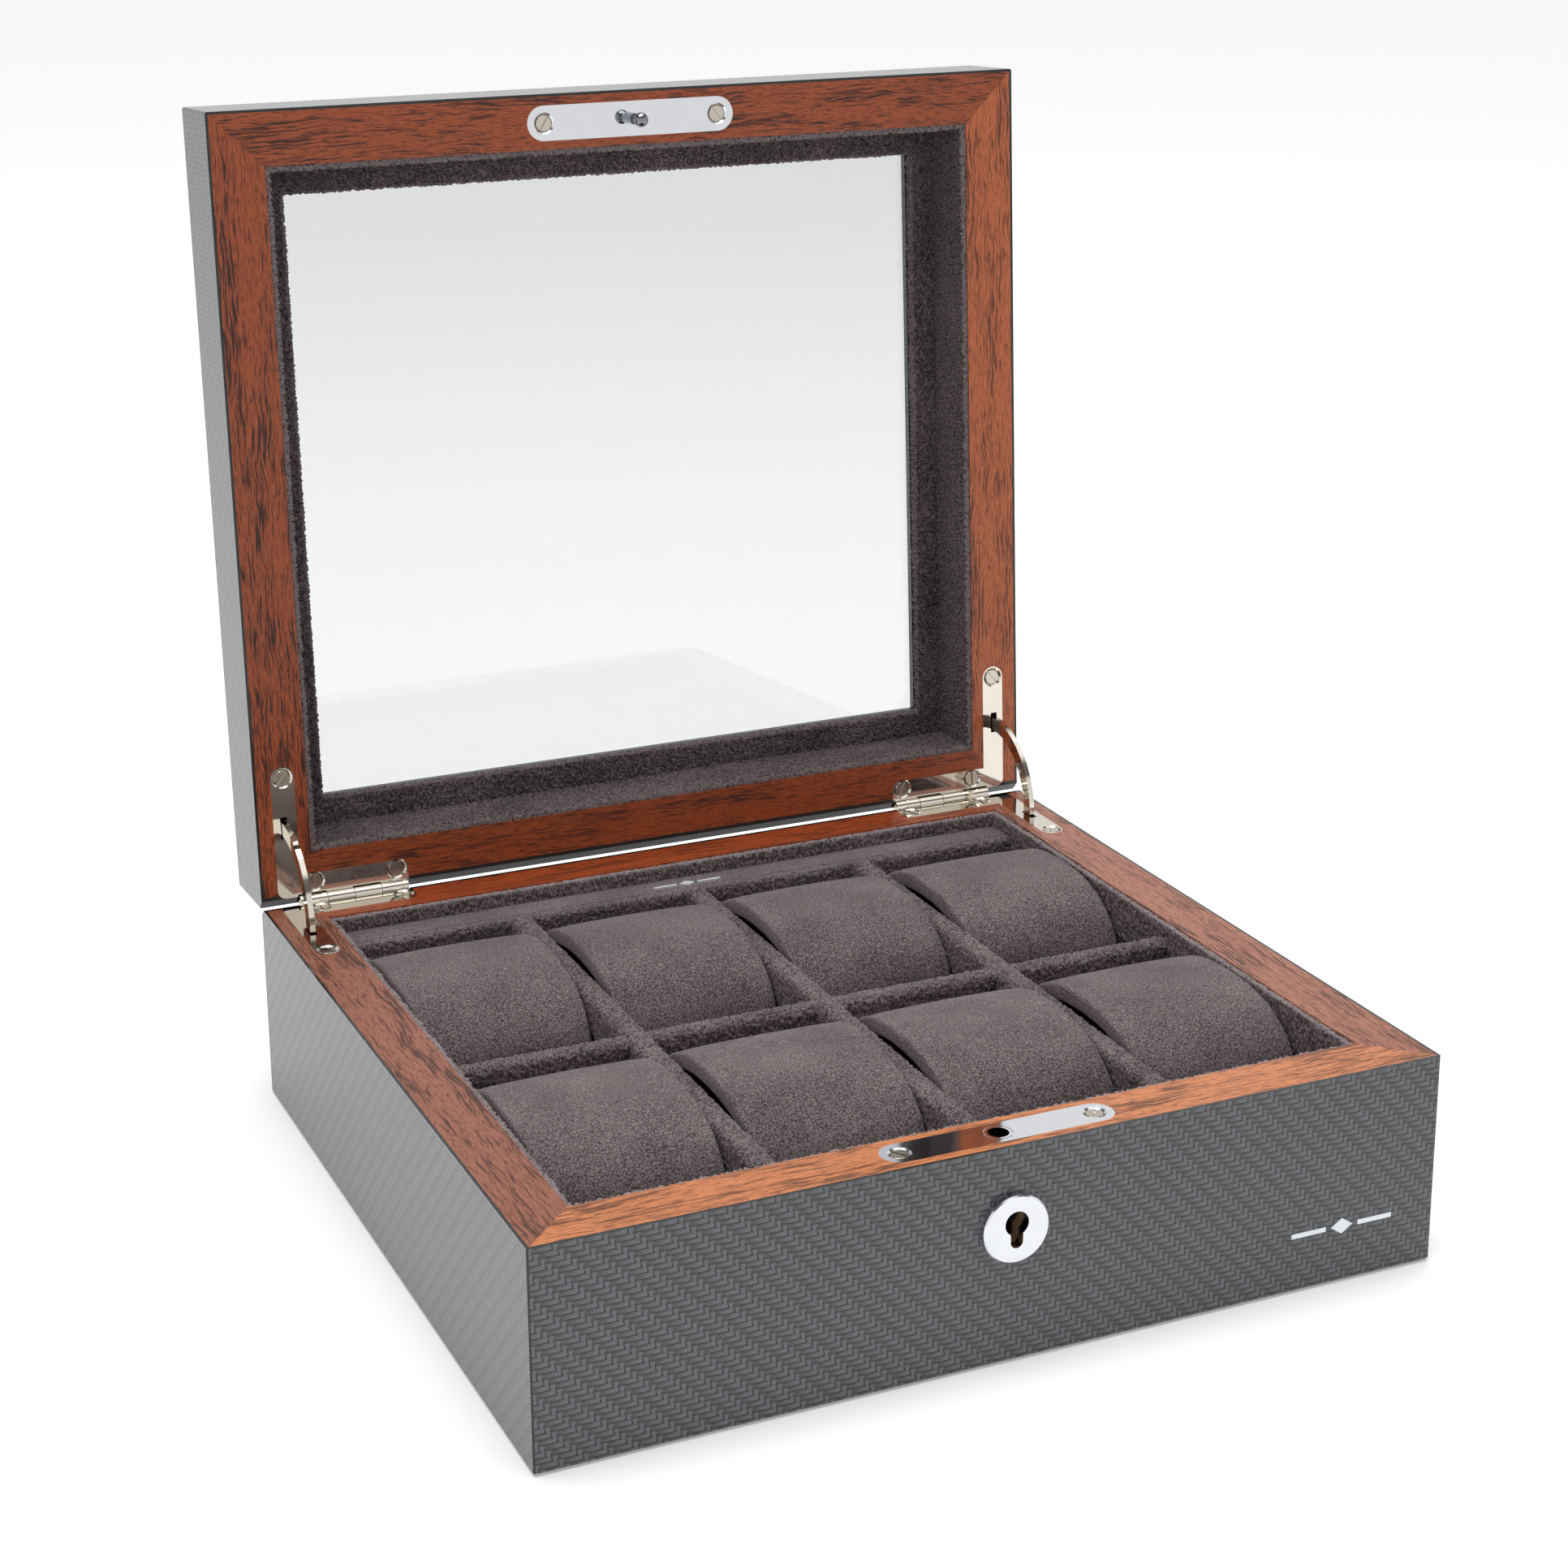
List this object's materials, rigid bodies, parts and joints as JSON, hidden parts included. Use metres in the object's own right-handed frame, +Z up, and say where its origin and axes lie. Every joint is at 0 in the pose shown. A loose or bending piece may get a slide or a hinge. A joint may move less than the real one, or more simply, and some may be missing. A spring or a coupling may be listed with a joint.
{
  "type": "watch box",
  "caption": "Glazed watch box with eight lift-out cushions, stay hinges, mitred wooden rims and a keyed box lock, standing open.",
  "frame": {"origin": "centre of the underside of the base", "axes": "+Z up, +Y from the lock towards the hinges, +X to the right seen from the lock side"},
  "size_m": [0.285, 0.3083, 0.3282],
  "materials": {
    "wood_core": "matt",
    "rim_wood": "satin lacquer",
    "laminate": "satin woven",
    "felt": "felt",
    "suede": "napped",
    "cushion_suede": "napped",
    "foil": "bright",
    "lock_chrome": "polished",
    "nickel": "polished",
    "screw_nickel": "polished",
    "lock_steel": "plain",
    "glass": "clear"
  },
  "bodies": {
    "base": {"base_front_wall": "wood_core", "base_back_wall": "wood_core", "base_left_wall": "wood_core", "base_right_wall": "wood_core", "base_bottom": "wood_core", "base_front_rim": "rim_wood", "base_back_rim": "rim_wood", "base_left_rim": "rim_wood", "base_right_rim": "rim_wood", "base_laminate": "laminate", "underside_felt": "felt", "tray_floor": "suede", "base_lining": "suede", "back_ledge": "suede", "long_divider": "suede", "cross_divider_1": "suede", "cross_divider_2": "suede", "cross_divider_3": "suede", "ledge_emblem": "foil", "front_emblem": "foil", "escutcheon": "lock_chrome", "lock_plate": "lock_chrome", "lower_leaf_left": "nickel", "lower_leaf_right": "nickel", "hinge_pin_left": "nickel", "hinge_pin_right": "nickel", "base_hinge_screws": "screw_nickel", "lock_plate_screws": "screw_nickel", "lock_case": "lock_steel"},
    "lid": {"lid_front_wall": "wood_core", "lid_back_wall": "wood_core", "lid_left_wall": "wood_core", "lid_right_wall": "wood_core", "lid_front_rim": "rim_wood", "lid_back_rim": "rim_wood", "lid_left_rim": "rim_wood", "lid_right_rim": "rim_wood", "lid_laminate": "laminate", "lid_top_frame": "laminate", "lid_lining": "suede", "lid_glass_frame": "suede", "lid_hinge_screws": "screw_nickel", "lid_glass": "glass", "striker_plate": "lock_chrome", "striker_stud": "lock_chrome", "striker_screws": "screw_nickel", "upper_leaf_left": "nickel", "upper_leaf_right": "nickel"},
    "stay_left": {"stay_arm_left": "nickel"},
    "stay_right": {"stay_arm_right": "nickel"},
    "bolt": {"lock_bolt": "lock_steel"},
    "watch_cushion_1": {"cushion_1": "cushion_suede"},
    "watch_cushion_2": {"cushion_2": "cushion_suede"},
    "watch_cushion_3": {"cushion_3": "cushion_suede"},
    "watch_cushion_4": {"cushion_4": "cushion_suede"},
    "watch_cushion_5": {"cushion_5": "cushion_suede"},
    "watch_cushion_6": {"cushion_6": "cushion_suede"},
    "watch_cushion_7": {"cushion_7": "cushion_suede"},
    "watch_cushion_8": {"cushion_8": "cushion_suede"}
  },
  "joints": [
    {"name": "lid_hinge", "type": "hinge", "parent": "base", "child": "lid", "pos_m": [0, 0.13025, 0.0671], "axis": [-1, 0, 0], "range_deg": [-93, 0]},
    {"name": "stay_left_turn", "type": "hinge", "parent": "base", "child": "stay_left", "pos_m": [0, 0.13025, 0.0671], "axis": [-1, 0, 0], "range_deg": [-46.5, 0]},
    {"name": "stay_right_turn", "type": "hinge", "parent": "base", "child": "stay_right", "pos_m": [0, 0.13025, 0.0671], "axis": [-1, 0, 0], "range_deg": [-46.5, 0]},
    {"name": "bolt_slide", "type": "slide", "parent": "base", "child": "bolt", "axis": [-1, 0, 0], "range_m": [0, 0.006]},
    {"name": "cushion_1_lift", "type": "slide", "parent": "base", "child": "watch_cushion_1", "axis": [0, 0, 1], "range_m": [0, 0.06]},
    {"name": "cushion_2_lift", "type": "slide", "parent": "base", "child": "watch_cushion_2", "axis": [0, 0, 1], "range_m": [0, 0.06]},
    {"name": "cushion_3_lift", "type": "slide", "parent": "base", "child": "watch_cushion_3", "axis": [0, 0, 1], "range_m": [0, 0.06]},
    {"name": "cushion_4_lift", "type": "slide", "parent": "base", "child": "watch_cushion_4", "axis": [0, 0, 1], "range_m": [0, 0.06]},
    {"name": "cushion_5_lift", "type": "slide", "parent": "base", "child": "watch_cushion_5", "axis": [0, 0, 1], "range_m": [0, 0.06]},
    {"name": "cushion_6_lift", "type": "slide", "parent": "base", "child": "watch_cushion_6", "axis": [0, 0, 1], "range_m": [0, 0.06]},
    {"name": "cushion_7_lift", "type": "slide", "parent": "base", "child": "watch_cushion_7", "axis": [0, 0, 1], "range_m": [0, 0.06]},
    {"name": "cushion_8_lift", "type": "slide", "parent": "base", "child": "watch_cushion_8", "axis": [0, 0, 1], "range_m": [0, 0.06]}
  ],
  "couplings": [
    {"joint": "stay_left_turn", "follows": "lid_hinge", "ratio": 0.5},
    {"joint": "stay_right_turn", "follows": "lid_hinge", "ratio": 0.5}
  ]
}
